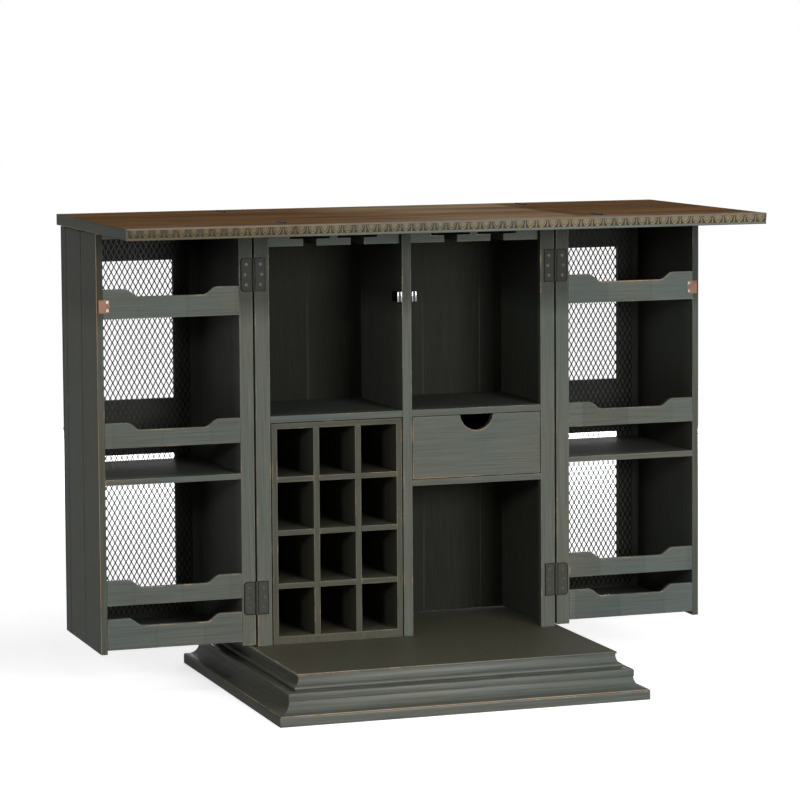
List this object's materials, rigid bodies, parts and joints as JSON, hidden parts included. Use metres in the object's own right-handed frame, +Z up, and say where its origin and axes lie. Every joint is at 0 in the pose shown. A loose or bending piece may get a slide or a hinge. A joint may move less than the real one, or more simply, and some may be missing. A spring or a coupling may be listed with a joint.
{
  "type": "bar cabinet",
  "caption": "Bar cabinet on a moulded plinth, with deep mesh-backed doors, a fold-out top, a bottle rack, a drawer and hanging glass rails.",
  "frame": {"origin": "on the floor at the middle of the plinth's width and depth", "axes": "+Z up, -Y towards the user, +X to the user's right when facing the cabinet"},
  "size_m": [1.462, 0.7846, 1.0692],
  "materials": {
    "painted_wood": "grey-green paint, satin, brushed and rubbed through to pale wood at the edges",
    "dark_painted_wood": "darker grey-green paint, satin",
    "plank_top": "brown stained planks, waxed and worn",
    "edge_moulding": "carved moulding, grey-green with rubbed gilt on the high parts",
    "hinge_metal": "painted over with the cabinet",
    "catch_chrome": "bright plated",
    "strike_copper": "copper coloured plate, satin",
    "mesh_steel": "black, satin",
    "knob_iron": "dark, oiled"
  },
  "bodies": {
    "cabinet": {"base_moulding": "painted_wood", "plinth_top": "painted_wood", "body_side_left": "dark_painted_wood", "body_side_right": "dark_painted_wood", "front_stile_left": "painted_wood", "front_stile_right": "painted_wood", "partition": "painted_wood", "back_panel": "dark_painted_wood", "top_panel": "painted_wood", "shelf_left": "painted_wood", "shelf_right": "painted_wood", "drawer_shelf": "painted_wood", "wine_rack_case": "painted_wood", "wine_rack_upright_1": "painted_wood", "wine_rack_upright_2": "painted_wood", "wine_rack_shelf_1": "painted_wood", "wine_rack_shelf_2": "painted_wood", "wine_rack_shelf_3": "painted_wood", "left_door_catch": "catch_chrome", "right_door_catch": "catch_chrome", "top_centre": "plank_top", "top_centre_moulding": "edge_moulding", "left_door_upper_hinge_cabinet_leaf": "hinge_metal", "left_door_lower_hinge_cabinet_leaf": "hinge_metal", "right_door_upper_hinge_cabinet_leaf": "hinge_metal", "right_door_lower_hinge_cabinet_leaf": "hinge_metal"},
    "drawer": {"drawer_front": "painted_wood", "drawer_box": "dark_painted_wood"},
    "left_door": {"left_door_hinge_side": "painted_wood", "left_door_outer_side": "dark_painted_wood", "left_door_top": "painted_wood", "left_door_floor": "painted_wood", "left_door_shelf_middle": "painted_wood", "left_door_shelf_upper": "painted_wood", "left_door_gallery_lower": "painted_wood", "left_door_gallery_middle": "painted_wood", "left_door_mesh_frame": "painted_wood", "left_door_mesh": "mesh_steel", "left_door_knob": "knob_iron", "left_door_strike_plate": "strike_copper", "left_door_upper_hinge_door_leaf": "hinge_metal", "left_door_lower_hinge_door_leaf": "hinge_metal"},
    "right_door": {"right_door_hinge_side": "painted_wood", "right_door_outer_side": "dark_painted_wood", "right_door_top": "painted_wood", "right_door_floor": "painted_wood", "right_door_shelf_middle": "painted_wood", "right_door_shelf_upper": "painted_wood", "right_door_gallery_lower": "painted_wood", "right_door_gallery_middle": "painted_wood", "right_door_mesh_frame": "painted_wood", "right_door_mesh": "mesh_steel", "right_door_knob": "knob_iron", "right_door_strike_plate": "strike_copper", "right_door_upper_hinge_door_leaf": "hinge_metal", "right_door_lower_hinge_door_leaf": "hinge_metal"},
    "left_top_leaf": {"left_leaf": "plank_top", "left_leaf_moulding": "edge_moulding"},
    "right_top_leaf": {"right_leaf": "plank_top", "right_leaf_moulding": "edge_moulding"}
  },
  "joints": [
    {"name": "left_door_hinge", "type": "hinge", "parent": "cabinet", "child": "left_door", "pos_m": [-0.3597, 0.00275, 0.5713], "axis": [0, 0, -1], "range_deg": [-180, 0]},
    {"name": "right_door_hinge", "type": "hinge", "parent": "cabinet", "child": "right_door", "pos_m": [0.3597, 0.00275, 0.5713], "axis": [0, 0, 1], "range_deg": [-180, 0]},
    {"name": "left_leaf_hinge", "type": "hinge", "parent": "cabinet", "child": "left_top_leaf", "pos_m": [-0.36565, 0.00535, 1.0665], "axis": [0, -1, 0], "range_deg": [-180, 0]},
    {"name": "right_leaf_hinge", "type": "hinge", "parent": "cabinet", "child": "right_top_leaf", "pos_m": [0.36565, 0.00535, 1.0665], "axis": [0, 1, 0], "range_deg": [-180, 0]},
    {"name": "drawer_slide", "type": "slide", "parent": "cabinet", "child": "drawer", "axis": [0, -1, 0], "range_m": [0, 0.2]}
  ]
}
